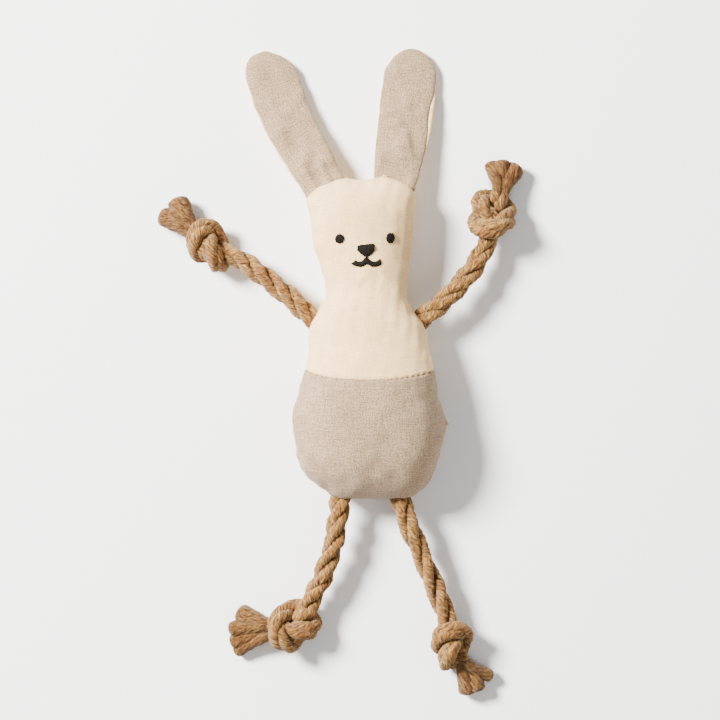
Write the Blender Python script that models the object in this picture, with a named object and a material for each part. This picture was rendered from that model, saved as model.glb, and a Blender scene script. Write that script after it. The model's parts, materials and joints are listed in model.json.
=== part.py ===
"""A stuffed rabbit toy of linen with four knotted jute rope limbs, lying on its back.

Frame: metres, +Z up. The face looks along +Z, the ears point along +Y and the legs along -Y. The origin is
on the floor plane, at the middle of the flat that the belly's back rests on. Left and right are the toy's
own: its left side is at +X.
"""

import math

import bmesh
import bpy
from mathutils import Matrix, Vector

MM = 0.001  # the tables below are in millimetres

# ---- driving dimensions ---------------------------------------------------------------------------------
CLOTH = 0.9  # linen with its seam allowance, thickness
GAP = 0.3  # clearance between neighbouring solids
SEAM_GAP = GAP / 2  # each panel's share of the gap along a seam
FILLING_INSET = CLOTH + 0.8  # filling surface under the outer surface of the cover
END_INSET = 3.5  # and from the two ends of the body
CHORD_ROOM = 0.4  # lifts what lies on the cover clear of its facets

ROPE_R = 5.5  # three strand jute rope, 11 mm across
ROOT_BALL_R = 4.2  # the sewn end of a rope, where it turns in the seam
ROPE_START = ROOT_BALL_R + 0.4  # the rope's own solid starts this far from its pivot
SOCKET_R = 7.8  # mouth in the seam around a rope's pivot
TAB = {"length": 8.0, "width": 4.8, "thickness": 2.6}  # the rope's end, pressed flat inside the seam
KNOT_R = 12.6
KNOT_HALF_HEIGHT = 12.0
KNOT_FLAT = 10.8  # distance of the knot's two end flats from its centre

BOTTOM_Y, TOP_Y = -40.5, 136.5  # crotch and crown of the stuffed body
BOTTOM_ROUND, TOP_ROUND = 26.0, 21.0  # length over which the thickness grows from each end
WAIST_Y, WAIST_DIP = 31.0, 6.0  # waist seam at the sides, and how much lower its middle is
FULLNESS = 2.25  # superellipse exponent of the stuffed cross-section
FILLING_SPLIT_Y = 10.0

# y, left edge (-X), right edge (+X) of the stuffed body seen from the front
BODY_EDGES = (
    (-40.5, -17.0, 20.5),
    (-37.5, -22.0, 27.0),
    (-33.0, -28.0, 32.5),
    (-28.0, -34.0, 35.5),
    (-20.0, -38.4, 38.6),
    (-8.0, -40.2, 41.3),
    (4.0, -41.8, 41.8),
    (15.0, -39.2, 39.0),
    (29.0, -35.4, 37.0),
    (41.0, -32.6, 33.4),
    (52.0, -32.5, 31.6),
    (58.0, -30.2, 29.0),
    (63.0, -27.2, 24.8),
    (68.0, -24.2, 22.2),
    (76.0, -23.6, 21.6),
    (87.5, -26.4, 23.1),
    (96.0, -29.6, 24.4),
    (108.0, -31.9, 25.6),
    (122.0, -34.0, 26.2),
    (128.0, -32.0, 25.4),
    (132.5, -25.5, 20.6),
    (136.5, -13.5, 11.0),
)
# y, seam height above the floor, rise of the front over the seam, depth of the back under it
BODY_DEPTHS = (
    (-40.5, 17.5, 24.0, 19.0),
    (-10.0, 20.0, 26.0, 21.5),
    (20.0, 20.0, 25.0, 21.0),
    (45.0, 19.0, 21.0, 18.6),
    (60.0, 18.3, 18.5, 16.6),
    (76.0, 17.4, 16.8, 15.2),
    (92.0, 16.6, 19.0, 16.2),
    (108.0, 16.0, 20.6, 17.6),
    (124.0, 15.8, 20.0, 17.0),
    (136.5, 15.6, 19.0, 16.0),
)

# Each limb: its rope's route from the seam to the knot's centre, the tip of its frayed end, and the way that
# the sewn end runs into the seam.
LIMBS = {
    "right_arm": {
        "route": (
            (-31.6, 59.4, 18.4),
            (-41.4, 68.4, 17.6),
            (-51.7, 77.4, 16.2),
            (-62.4, 85.6, 14.6),
            (-74.0, 93.0, 13.0),
            (-89.1, 99.6, 12.0),
        ),
        "tip": (-109.5, 116.6, 6.2),
        "inwards": (1, 0, 0),
    },
    "left_arm": {
        "route": (
            (30.6, 59.0, 18.4),
            (40.7, 67.4, 17.6),
            (50.8, 77.4, 16.0),
            (59.2, 88.0, 14.2),
            (65.2, 100.0, 12.8),
            (68.8, 116.1, 12.0),
        ),
        "tip": (75.6, 142.6, 6.2),
        "inwards": (-1, 0, 0),
    },
    "right_leg": {
        "route": (
            (-15.4, -41.0, 17.4),
            (-17.0, -55.0, 16.8),
            (-20.8, -72.0, 15.2),
            (-26.2, -86.4, 13.6),
            (-31.6, -98.0, 12.6),
            (-38.5, -112.2, 12.0),
        ),
        "tip": (-72.6, -113.6, 6.2),
        "inwards": (0, 1, 0),
    },
    "left_leg": {
        "route": (
            (18.0, -41.2, 17.4),
            (23.0, -56.4, 16.8),
            (30.2, -73.0, 15.2),
            (36.6, -88.4, 13.6),
            (41.2, -101.0, 12.6),
            (46.8, -121.6, 12.0),
        ),
        "tip": (58.2, -142.6, 6.2),
        "inwards": (0, 1, 0),
    },
}

# Each ear: its centreline from the hinge to the tip with half widths there, as x, y, half width.
EARS = {
    "right_ear": {
        "hinge": ((-37.0, 127.8), (-14.2, 139.4)),
        "line": (
            (-25.6, 133.6, 12.0),
            (-34.0, 149.0, 14.0),
            (-40.6, 163.0, 15.2),
            (-46.6, 177.0, 15.4),
            (-51.4, 189.0, 14.6),
            (-54.6, 198.0, 11.0),
            (-56.4, 204.0, 4.5),
        ),
    },
    "left_ear": {
        "hinge": ((3.6, 139.8), (27.0, 132.4)),
        "line": (
            (15.3, 136.1, 12.0),
            (17.6, 150.0, 13.8),
            (19.8, 164.0, 14.8),
            (21.6, 178.0, 15.0),
            (23.0, 190.0, 14.4),
            (23.8, 200.0, 11.4),
            (24.0, 206.6, 4.5),
        ),
    },
}
EAR_ROOT_Z, EAR_TIP_Z = 15.6, 2.8  # middle of the ear's thickness at its root and its tip
EAR_CROWN = 1.7  # extra half thickness along the ear's middle, from its wadding
EAR_EDGE = 1.0  # half thickness at the ear's edge
EAR_PINCH, EAR_PINCH_LENGTH = 0.2, 14.0  # share of the crown left at the seam, and where it is full

SQUEAKER = {"centre": (0.0, 10.0, 21.0), "radius": 15.0, "height": 13.0, "wall": 1.2}
REED = {"radius": 2.8, "flange": 4.4, "flange_height": 0.9, "length": 6.0, "bore": 1.1}

EYES = {"right_eye": (-16.0, 102.3), "left_eye": (12.6, 102.7)}
EYE_RX, EYE_RY = 2.1, 2.5
NOSE = (
    (-5.0, 97.9),
    (-3.0, 98.8),
    (0.0, 99.3),
    (2.8, 99.4),
    (4.1, 98.4),
    (3.7, 96.0),
    (2.0, 93.8),
    (0.4, 92.2),
    (-1.0, 92.2),
    (-2.4, 94.0),
    (-4.4, 96.0),
)
MOUTH = (
    (-8.6, 89.6),
    (-6.6, 88.2),
    (-4.2, 87.9),
    (-1.8, 89.2),
    (-0.3, 90.4),
    (1.2, 89.0),
    (3.8, 87.9),
    (6.0, 88.6),
    (7.4, 90.2),
)
THREAD_R = 0.9
THREAD_HEIGHT = 0.8

CLOSING = {"y0": -7.0, "y1": 4.0, "stitches": 5, "half_reach": 1.6, "radius": 0.35}

# ---- materials ------------------------------------------------------------------------------------------
COLOURS = {
    "cream_linen": ((0.80, 0.70, 0.56), 0.9),
    "grey_linen": ((0.50, 0.42, 0.33), 0.9),
    "jute_rope": ((0.50, 0.33, 0.18), 0.95),
    "black_thread": ((0.012, 0.011, 0.010), 0.7),
    "filling": ((0.85, 0.84, 0.80), 1.0),
    "squeaker_plastic": ((0.80, 0.80, 0.76), 0.4),
}


def material(name):
    """The named Principled material, made once."""
    found = bpy.data.materials.get(name)
    if found:
        return found
    made = bpy.data.materials.new(name)
    made.use_nodes = True
    colour, roughness = COLOURS[name]
    shader = made.node_tree.nodes["Principled BSDF"]
    shader.inputs["Base Color"].default_value = (*colour, 1.0)
    shader.inputs["Roughness"].default_value = roughness
    shader.inputs["Metallic"].default_value = 0.0
    made.diffuse_color = (*colour, 1.0)
    return made


# ---- small tools ----------------------------------------------------------------------------------------
def between(rows, at, column):
    """The smooth value of a table's column where its first column is at."""
    last = len(rows) - 1
    at = min(max(at, rows[0][0]), rows[last][0])
    i = next(k for k in range(last) if at <= rows[k + 1][0])
    x0, x1 = rows[i][0], rows[i + 1][0]

    def slope(k):
        a, b = max(k - 1, 0), min(k + 1, last)
        return (rows[b][column] - rows[a][column]) / (rows[b][0] - rows[a][0])

    t = (at - x0) / (x1 - x0)
    h = x1 - x0
    return (
        (2 * t**3 - 3 * t**2 + 1) * rows[i][column]
        + (t**3 - 2 * t**2 + t) * h * slope(i)
        + (3 * t**2 - 2 * t**3) * rows[i + 1][column]
        + (t**3 - t**2) * h * slope(i + 1)
    )


def smooth_path(points, count):
    """count points evenly spread along a smooth curve through the given ones."""
    rows, run = [], 0.0
    for i, point in enumerate(points):
        run += (Vector(point) - Vector(points[i - 1])).length if i else 0.0
        rows.append((run, *point))
    steps = [run * k / (count - 1) for k in range(count)]
    return [Vector([between(rows, s, c + 1) for c in range(len(points[0]))]) for s in steps]


def signed_power(value, power):
    return math.copysign(abs(value) ** power, value)


def add_object(name, mesh, slot, smooth=True):
    for polygon in mesh.polygons:
        polygon.use_smooth = smooth
    mesh.materials.append(material(slot))
    made = bpy.data.objects.new(name, mesh)
    bpy.context.scene.collection.objects.link(made)
    return made


def mesh_of(name, build):
    """A mesh in metres from a bmesh that build fills in millimetres, with its faces pointing out."""
    bm = bmesh.new()
    build(bm)
    bmesh.ops.remove_doubles(bm, verts=bm.verts, dist=1e-4)
    bmesh.ops.recalc_face_normals(bm, faces=bm.faces)
    bmesh.ops.scale(bm, vec=(MM, MM, MM), verts=bm.verts)
    mesh = bpy.data.meshes.new(name)
    bm.to_mesh(mesh)
    bm.free()
    return mesh


def loft(bm, rows, closed=True, caps=True):
    """Faces between rows of points. A closed row's last point joins its first one."""
    made = [[bm.verts.new(p) for p in row] for row in rows]
    count = len(rows[0])
    for low, high in zip(made, made[1:]):
        for i in range(count if closed else count - 1):
            j = (i + 1) % count
            bm.faces.new((low[i], low[j], high[j], high[i]))
    if caps:
        bm.faces.new(list(reversed(made[0])))
        bm.faces.new(made[-1])


def hang_on(name, at, pieces, parent=None):
    """An empty on a joint's axis that carries the pieces turning about it."""
    pivot = bpy.data.objects.new(name, None)
    bpy.context.scene.collection.objects.link(pivot)
    pivot.empty_display_size = 0.01
    place = Matrix.Translation(Vector(at) * MM)
    pivot.matrix_world = place
    if parent:
        pivot.parent = parent
        pivot.matrix_parent_inverse = place.inverted()
    for piece in pieces:
        piece.parent = pivot
        piece.matrix_parent_inverse = place.inverted()
    return pivot


def cutter(name, mesh):
    made = bpy.data.objects.new(name, mesh)
    bpy.context.scene.collection.objects.link(made)
    made.hide_render = True
    made.display_type = "WIRE"
    return made


def cut(target, *tools):
    for tool in tools:
        modifier = target.modifiers.new("cut_" + tool.name, "BOOLEAN")
        modifier.operation = "DIFFERENCE"
        modifier.object = tool
        modifier.solver = "EXACT"


def tube(name, points, radius, slot, resolution=3):
    """A round tube along the points, as a bevelled curve with filled caps."""
    curve = bpy.data.curves.new(name, "CURVE")
    curve.dimensions = "3D"
    curve.bevel_depth = radius * MM
    curve.bevel_resolution = resolution
    curve.use_fill_caps = True
    spline = curve.splines.new("POLY")
    spline.points.add(len(points) - 1)
    for target, point in zip(spline.points, points):
        target.co = (*[c * MM for c in point], 1.0)
    curve.materials.append(material(slot))
    made = bpy.data.objects.new(name, curve)
    bpy.context.scene.collection.objects.link(made)
    return made


# ---- the stuffed body -----------------------------------------------------------------------------------
def end_growth(y, inset=0.0):
    """0 at the body's two ends and 1 away from them, as a quarter of an ellipse."""
    low = min(max((y - BOTTOM_Y - inset) / BOTTOM_ROUND, 0.0), 1.0)
    high = min(max((TOP_Y - inset - y) / TOP_ROUND, 0.0), 1.0)
    return math.sqrt(1 - (1 - low) ** 2) * math.sqrt(1 - (1 - high) ** 2)


THINNEST = 0.5  # half thickness left at the very ends


def body_point(y, angle, inset=0.0):
    """A point of the stuffed body's surface: angle 0 at +X, a quarter turn at the front."""
    left, right = between(BODY_EDGES, y, 1), between(BODY_EDGES, y, 2)
    front = math.sin(angle) >= 0
    depth = between(BODY_DEPTHS, y, 2 if front else 3)
    half = (right - left) / 2 - 1.5 * inset
    rise = max(depth * end_growth(y, inset) - inset, THINNEST)
    x = (left + right) / 2 + half * signed_power(math.cos(angle), 2 / FULLNESS)
    z = between(BODY_DEPTHS, y, 1) + rise * signed_power(math.sin(angle), 2 / FULLNESS)
    return Vector((x, y, max(z, inset)))  # the back lies flat on the floor


def front_height(x, y):
    """The height of the body's front surface over a point."""
    left, right = between(BODY_EDGES, y, 1), between(BODY_EDGES, y, 2)
    across = min(abs((x - (left + right) / 2) / ((right - left) / 2)), 1.0)
    rise = between(BODY_DEPTHS, y, 2) * end_growth(y)
    return between(BODY_DEPTHS, y, 1) + rise * (1 - across**FULLNESS) ** (1 / FULLNESS)


def waist(angle):
    """The waist seam's y where it passes a cross-section angle."""
    return WAIST_Y - WAIST_DIP * abs(math.sin(angle)) ** 1.5


def panel(name, slot, front, upper, rows=15, across=14):
    """One of the cover's four panels, from one side seam to the other."""
    side = SEAM_GAP if front else -SEAM_GAP
    turn = 0.0 if front else math.pi

    def row(step):
        share = step / rows
        points = []
        for k in range(across + 1):
            angle = turn + math.pi * k / across
            if upper:
                start, end = waist(angle) + SEAM_GAP, TOP_Y
                y = start + (end - start) * math.sin(share * math.pi / 2) ** 1.15
            else:
                start, end = BOTTOM_Y, waist(angle) - SEAM_GAP
                y = end - (end - start) * math.sin((1 - share) * math.pi / 2) ** 1.15
            point = body_point(y, angle)
            point.z += side if point.z > 0 else 0.0
            points.append(point)
        return points

    def build(bm):
        loft(bm, [row(step) for step in range(rows + 1)], closed=False, caps=False)

    mesh = mesh_of(name, build)
    outwards = sum(p.normal.z * p.area for p in mesh.polygons) * (1 if front else -1)
    if outwards < 0:
        mesh.flip_normals()
    made = add_object(name, mesh, slot)
    wall = made.modifiers.new("cloth", "SOLIDIFY")
    wall.thickness = CLOTH * MM
    wall.offset = -1
    wall.use_even_offset = True
    return made


def clump(name, y0, y1, rows=11, around=22):
    """A solid mass of filling between two cross-sections of the body."""

    def build(bm):
        sections = []
        for step in range(rows + 1):
            y = y0 + (y1 - y0) * (1 - math.cos(math.pi * step / rows)) / 2
            angles = [2 * math.pi * (k + 0.5) / around for k in range(around)]
            sections.append([body_point(y, a, FILLING_INSET) for a in angles])
        loft(bm, sections)

    return add_object(name, mesh_of(name, build), "filling")


# ---- squeaker -------------------------------------------------------------------------------------------
def turned(name, profile, centre, slot, steps=20):
    """A closed profile of (radius, height) points turned about the vertical axis through centre."""

    def build(bm):
        rings = []
        for k in range(steps):
            a = 2 * math.pi * k / steps
            ring = [(centre[0] + r * math.cos(a), centre[1] + r * math.sin(a), centre[2] + h) for r, h in profile]
            rings.append(ring)
        rings.append(rings[0])
        loft(bm, rings, closed=True, caps=False)

    return add_object(name, mesh_of(name, build), slot)


def squeaker_parts():
    s = SQUEAKER
    r, h, wall = s["radius"], s["height"] / 2, s["wall"]
    hole = REED["radius"] + GAP
    outer = [(hole, h), (r - 4, h), (r - 1, h - 1.4), (r, h - 4), (r, -h + 4), (r - 1, -h + 1.4), (r - 4, -h), (2, -h)]
    inner = [(2, -h + wall), (r - 4.4, -h + wall), (r - wall, -h + 4.4), (r - wall, h - 4.4), (r - 4.4, h - wall), (hole, h - wall)]
    vent = turned("squeaker_bulb", outer + inner, s["centre"], "squeaker_plastic")
    top = h + GAP
    reed = [
        (REED["bore"], top + REED["flange_height"]),
        (REED["flange"], top + REED["flange_height"]),
        (REED["flange"], top),
        (REED["radius"], top),
        (REED["radius"], top - REED["length"]),
        (REED["bore"], top - REED["length"]),
    ]
    return vent, turned("squeaker_reed", reed, s["centre"], "squeaker_plastic", 16)


def squeaker_pocket():
    """The room that the two clumps of filling leave around the squeaker."""
    r, h = SQUEAKER["radius"] + GAP + 0.1, SQUEAKER["height"] / 2 + GAP + 0.1
    top = h + REED["flange_height"] + GAP
    x, y, z = SQUEAKER["centre"]

    def build(bm):
        corners = [(math.cos(2 * math.pi * k / 24) * r + x, math.sin(2 * math.pi * k / 24) * r + y) for k in range(24)]
        loft(bm, [[(a, b, z - h) for a, b in corners], [(a, b, z + top) for a, b in corners]])

    return cutter("squeaker_pocket", mesh_of("squeaker_pocket", build))


# ---- ears -----------------------------------------------------------------------------------------------
def ear_grid(ear, low, high, start=0.0, inset=0.0, rows=10, across=8):
    """Top and bottom rows of one layer of an ear. low and high give the layer's faces as (edge, crown)."""
    line = ear["line"]
    lengths = [0.0]
    for a, b in zip(line, line[1:]):
        lengths.append(lengths[-1] + (Vector(b[:2]) - Vector(a[:2])).length)
    table = [(s, *p) for s, p in zip(lengths, line)]
    total = lengths[-1]
    hinge = (Vector(ear["hinge"][1]) - Vector(ear["hinge"][0])).normalized()
    tops, bottoms = [], []
    for i in range(rows + 1):
        s = start + (total - inset - start) * math.sin(i / rows * math.pi / 2) ** 1.1
        x, y, half = (between(table, s, c) for c in (1, 2, 3))
        ahead, behind = min(s + 1, total), max(s - 1, 0)
        along = Vector([between(table, ahead, c) - between(table, behind, c) for c in (1, 2)]).normalized()
        side = Vector((along.y, -along.x))
        side = side.lerp(hinge, max(0.0, 1 - s / 18)).normalized()
        share = s / total
        height = EAR_TIP_Z + (EAR_ROOT_Z - EAR_TIP_Z) * (1 - share) ** 1.5
        pinch = min(EAR_PINCH + (1 - EAR_PINCH) * s / EAR_PINCH_LENGTH, 1.0)
        top, bottom = [], []
        for k in range(across + 1):
            v = -1 + 2 * k / across
            crown = math.sqrt(max(1 - v * v, 0.0)) * pinch
            px, py = x + side.x * (half - inset) * v, y + side.y * (half - inset) * v
            top.append((px, py, height + high[0] + high[1] * crown))
            bottom.append((px, py, height + low[0] + low[1] * crown))
        tops.append(top)
        bottoms.append(bottom)
    return tops, bottoms


def ear_layer(name, slot, tops, bottoms):
    def build(bm):
        loft(bm, [top + list(reversed(bottom)) for top, bottom in zip(tops, bottoms)])

    return add_object(name, mesh_of(name, build), slot)


def build_ear(name, ear):
    front = (EAR_EDGE, EAR_CROWN)
    inside = (EAR_EDGE - CLOTH + SEAM_GAP / 2, EAR_CROWN)
    back, back_inside = [tuple(-v for v in face) for face in (front, inside)]
    pieces = [
        ear_layer(name + "_front_panel", "grey_linen", *ear_grid(ear, inside, front)),
        ear_layer(name + "_back_panel", "cream_linen", *ear_grid(ear, back, back_inside)),
    ]
    padding = (0.05, EAR_CROWN - 0.35)
    under = tuple(-v for v in padding)
    pieces.append(ear_layer(name + "_wadding", "filling", *ear_grid(ear, under, padding, start=7.0, inset=3.0)))
    a, b = ear["hinge"]
    hang_on(name + "_fold", ((a[0] + b[0]) / 2, (a[1] + b[1]) / 2, EAR_ROOT_Z), pieces)


def ear_socket(name, ear):
    """A round groove in the crown that the ear's root turns in."""
    a, b = (Vector((*p, EAR_ROOT_Z)) for p in ear["hinge"])
    reach = EAR_EDGE + EAR_CROWN + 0.5
    axis = (b - a).normalized()
    a, b = a - axis * 1.5, b + axis * 1.5
    up = Vector((0, 0, 1))
    out = axis.cross(up)

    def build(bm):
        rings = []
        for end in (a, b):
            angles = [2 * math.pi * k / 14 for k in range(14)]
            rings.append([end + reach * (math.cos(t) * out + math.sin(t) * up) for t in angles])
        loft(bm, rings)

    return cutter(name + "_socket", mesh_of(name + "_socket", build))


# ---- rope limbs -----------------------------------------------------------------------------------------
def ball(bm, centre, radii, segments=16, rings=10):
    made = bmesh.ops.create_uvsphere(bm, u_segments=segments, v_segments=rings, radius=1.0)["verts"]
    bmesh.ops.scale(bm, vec=radii, verts=made)
    bmesh.ops.translate(bm, vec=centre, verts=made)
    return made


def limb_socket(name, pivot):
    """The mouth in the seam, and the flat fan inside it that the sewn end swings in."""
    mouth = cutter(name + "_mouth", mesh_of(name + "_mouth", lambda bm: ball(bm, pivot, (SOCKET_R,) * 3)))
    reach, half = TAB["length"] + 1.5, TAB["thickness"] / 2 + 0.5

    def build(bm):
        ring = [(pivot.x + reach * math.cos(a), pivot.y + reach * math.sin(a)) for a in [k * math.pi / 10 for k in range(20)]]
        loft(bm, [[(x, y, pivot.z - half) for x, y in ring], [(x, y, pivot.z + half) for x, y in ring]])

    return mouth, cutter(name + "_fan", mesh_of(name + "_fan", build))


def build_root(name, pivot, inwards):
    """The sewn end of the rope: a ball in the mouth, with a flat tab held between the seam's layers."""

    def body(bm):
        ball(bm, pivot, (ROOT_BALL_R,) * 3, 14, 8)

    made = add_object(name + "_sewn_end", mesh_of(name + "_sewn_end", body), "jute_rope")
    across = Vector((-inwards.y, inwards.x, 0))
    half, thick = TAB["width"] / 2, TAB["thickness"] / 2

    def flat(bm):
        rows = []
        for reach, width in ((1.0, 0.8), (TAB["length"] * 0.6, 1.0), (TAB["length"], 0.75)):
            middle = pivot + inwards * reach
            sides = [middle + across * half * width * s for s in (-1, 1)]
            up = Vector((0, 0, thick))
            rows.append([sides[0] - up, sides[1] - up, sides[1] + up, sides[0] + up])
        loft(bm, rows)

    tab = cutter(name + "_tab", mesh_of(name + "_tab", flat))
    join = made.modifiers.new("tab", "BOOLEAN")
    join.operation, join.object, join.solver = "UNION", tab, "EXACT"
    return made


def build_knot(name, centre, ends):
    """The knot's outer shape: a ball cut flat where the rope enters and where its frayed end leaves."""

    def build(bm):
        ball(bm, centre, (KNOT_R, KNOT_R, KNOT_HALF_HEIGHT))
        for direction in ends:
            made = bmesh.ops.bisect_plane(
                bm,
                geom=list(bm.verts) + list(bm.edges) + list(bm.faces),
                plane_co=centre + direction * KNOT_FLAT,
                plane_no=direction,
                clear_outer=True,
            )
            rim = [e for e in made["geom_cut"] if isinstance(e, bmesh.types.BMEdge)]
            bmesh.ops.edgeloop_fill(bm, edges=rim)

    return add_object(name + "_knot", mesh_of(name + "_knot", build), "jute_rope")


def build_tail(name, start, tip):
    """The cut end of the rope past the knot, which spreads as its strands come apart."""
    along = (tip - start).normalized()
    side = along.cross(Vector((0, 0, 1))).normalized()
    up = side.cross(along)
    spread = ((0.0, 5.0, 5.0), (0.3, 5.6, 5.2), (0.7, 7.6, 5.4), (1.0, 8.6, 4.8))

    def build(bm):
        rows = []
        for share, wide, high in spread:
            middle = start.lerp(tip, share)
            tilt = Vector((0, 0, 1)).lerp(up, share)
            angles = [2 * math.pi * k / 12 for k in range(12)]
            rows.append([middle + side * wide * math.cos(a) + tilt * high * math.sin(a) for a in angles])
        loft(bm, rows)

    return add_object(name + "_frayed_end", mesh_of(name + "_frayed_end", build), "jute_rope")


def build_limb(name, limb):
    route = [Vector(p) for p in limb["route"]]
    pivot, centre, tip = route[0], route[-1], Vector(limb["tip"])
    fine = smooth_path(route, 200)
    enters = [p for p in fine if (p - centre).length < KNOT_FLAT + 1.5][0]
    inwards = (enters - centre).normalized()
    flat = Vector((tip.x, tip.y, centre.z - 2.0)) - centre
    outwards = flat.normalized()
    end = centre + inwards * (KNOT_FLAT + GAP)
    shown = [p for p in fine if (p - pivot).length > ROPE_START and (p - centre).length > KNOT_FLAT + 4]
    start = pivot + (shown[0] - pivot).normalized() * ROPE_START
    points = smooth_path([start, *shown[::20]], 9)
    points = [*points[:-1], centre + inwards * (KNOT_FLAT + 4), end]
    sewn = build_root(name, pivot, Vector(limb["inwards"]))
    pieces = [
        tube(name + "_rope", points, ROPE_R, "jute_rope"),
        build_knot(name, centre, (inwards, outwards)),
        build_tail(name, centre + outwards * (KNOT_FLAT + GAP + 0.2), tip),
    ]
    swing = hang_on(name + "_swing", pivot, [sewn])
    hang_on(name + "_lift", pivot, pieces, parent=swing)
    return limb_socket(name, pivot)


# ---- face and stitching ---------------------------------------------------------------------------------
def patch(name, outline, thickness):
    """A padded patch of satin stitch that follows the front's surface."""
    middle = sum((Vector(p) for p in outline), Vector((0, 0))) / len(outline)
    half = [middle.lerp(Vector(p), 0.55) for p in outline]

    def build(bm):
        def layer(lift, crown):
            outer = [bm.verts.new((x, y, front_height(x, y) + lift)) for x, y in outline]
            inner = [bm.verts.new((x, y, front_height(x, y) + lift + crown)) for x, y in half]
            peak = bm.verts.new((*middle, front_height(*middle) + lift + crown))
            count = len(outline)
            for i in range(count):
                j = (i + 1) % count
                bm.faces.new((outer[i], outer[j], inner[j], inner[i]))
                bm.faces.new((inner[i], inner[j], peak))
            return outer

        low, high = layer(CHORD_ROOM, 0.0), layer(CHORD_ROOM + thickness, 0.3)
        for i in range(len(outline)):
            j = (i + 1) % len(outline)
            bm.faces.new((low[i], low[j], high[j], high[i]))

    add_object(name, mesh_of(name, build), "black_thread")


def build_face():
    for name, (x, y) in EYES.items():
        turns = [2 * math.pi * k / 12 for k in range(12)]
        patch(name, [(x + EYE_RX * math.cos(a), y + EYE_RY * math.sin(a)) for a in turns], THREAD_HEIGHT)
    patch("nose", NOSE, THREAD_HEIGHT)
    line = smooth_path(MOUTH, 17)
    points = [Vector((p.x, p.y, front_height(p.x, p.y) + CHORD_ROOM + THREAD_R)) for p in line]
    tube("mouth", points, THREAD_R, "black_thread", 2)


def build_closing_stitches():
    """The ladder stitch that closes the gap the toy was turned and filled through."""
    c = CLOSING
    count = 2 * c["stitches"]
    points = []
    for k in range(count + 1):
        y = c["y0"] + (c["y1"] - c["y0"]) * k / count
        edge = between(BODY_EDGES, y, 2)
        height = between(BODY_DEPTHS, y, 1) + (c["half_reach"] if k % 2 else -c["half_reach"])
        points.append(Vector((edge + c["radius"] + GAP, y, height)))
    tube("closing_stitches", points, c["radius"], "grey_linen", 2)


# ---- assembly -------------------------------------------------------------------------------------------
def clear_scene():
    for made in list(bpy.data.objects):
        bpy.data.objects.remove(made)


def main():
    clear_scene()
    upper = [panel("front_upper_panel", "cream_linen", True, True), panel("back_upper_panel", "cream_linen", False, True)]
    lower = [
        panel("front_lower_panel", "grey_linen", True, False, rows=11),
        panel("back_lower_panel", "grey_linen", False, False, rows=11),
    ]
    high = clump("upper_filling", FILLING_SPLIT_Y + SEAM_GAP, TOP_Y - END_INSET, rows=19)
    low = clump("lower_filling", BOTTOM_Y + END_INSET, FILLING_SPLIT_Y - SEAM_GAP)
    pocket = squeaker_pocket()
    cut(high, pocket)
    cut(low, pocket)
    squeaker_parts()
    for name, limb in LIMBS.items():
        mouth, fan = build_limb(name, limb)
        near = (*upper, high) if "arm" in name else (*lower, low)
        for part in near:
            cut(part, mouth)
        cut(near[-1], fan)
    for name, ear in EARS.items():
        build_ear(name, ear)
        groove = ear_socket(name, ear)
        for part in upper:
            cut(part, groove)
    build_face()
    build_closing_stitches()


main()
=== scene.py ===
"""Looks of the stuffed linen rabbit with knotted jute rope limbs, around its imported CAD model.

Lengths in this file are millimetres until a mesh is written. +Z is up, out of the face; +Y runs to the ears.
"""

import json
import math

import bpy
import numpy as np
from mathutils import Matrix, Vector
from mathutils.bvhtree import BVHTree


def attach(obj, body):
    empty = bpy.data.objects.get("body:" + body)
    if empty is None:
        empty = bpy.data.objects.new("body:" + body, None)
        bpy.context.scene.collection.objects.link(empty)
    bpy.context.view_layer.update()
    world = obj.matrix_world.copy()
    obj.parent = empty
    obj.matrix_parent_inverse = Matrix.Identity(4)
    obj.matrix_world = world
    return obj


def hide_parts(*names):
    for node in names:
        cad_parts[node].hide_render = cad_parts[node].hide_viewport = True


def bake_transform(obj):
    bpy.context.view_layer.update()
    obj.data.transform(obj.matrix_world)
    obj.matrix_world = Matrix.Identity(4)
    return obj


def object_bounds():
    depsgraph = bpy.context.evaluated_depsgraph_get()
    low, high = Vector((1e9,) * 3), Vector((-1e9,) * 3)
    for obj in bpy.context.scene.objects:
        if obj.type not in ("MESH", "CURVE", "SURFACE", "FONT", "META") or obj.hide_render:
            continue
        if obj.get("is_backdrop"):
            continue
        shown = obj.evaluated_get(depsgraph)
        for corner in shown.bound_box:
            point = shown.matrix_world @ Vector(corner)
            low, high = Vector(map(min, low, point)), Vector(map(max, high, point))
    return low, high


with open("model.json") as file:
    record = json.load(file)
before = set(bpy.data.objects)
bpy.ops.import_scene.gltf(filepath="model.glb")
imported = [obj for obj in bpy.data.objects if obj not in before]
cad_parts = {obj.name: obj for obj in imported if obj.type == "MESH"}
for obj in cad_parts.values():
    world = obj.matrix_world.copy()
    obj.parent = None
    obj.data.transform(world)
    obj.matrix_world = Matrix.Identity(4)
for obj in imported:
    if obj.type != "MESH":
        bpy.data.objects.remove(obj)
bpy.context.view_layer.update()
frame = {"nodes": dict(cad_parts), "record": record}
MM = 0.001

# ---- the stuffed body ----
BOTTOM_Y, TOP_Y = -40.5, 136.5  # crotch and crown
BOTTOM_ROUND, TOP_ROUND = 26.0, 21.0  # length over which the thickness grows from each end
BOTTOM_ARC, TOP_ARC = 39.0, 31.5  # and the length of cloth along that rounding
WAIST_Y, WAIST_DIP = 31.0, 6.0
FULLNESS = 2.25  # superellipse exponent of the stuffed cross-section
EDGE_THICKNESS = 0.5

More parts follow.
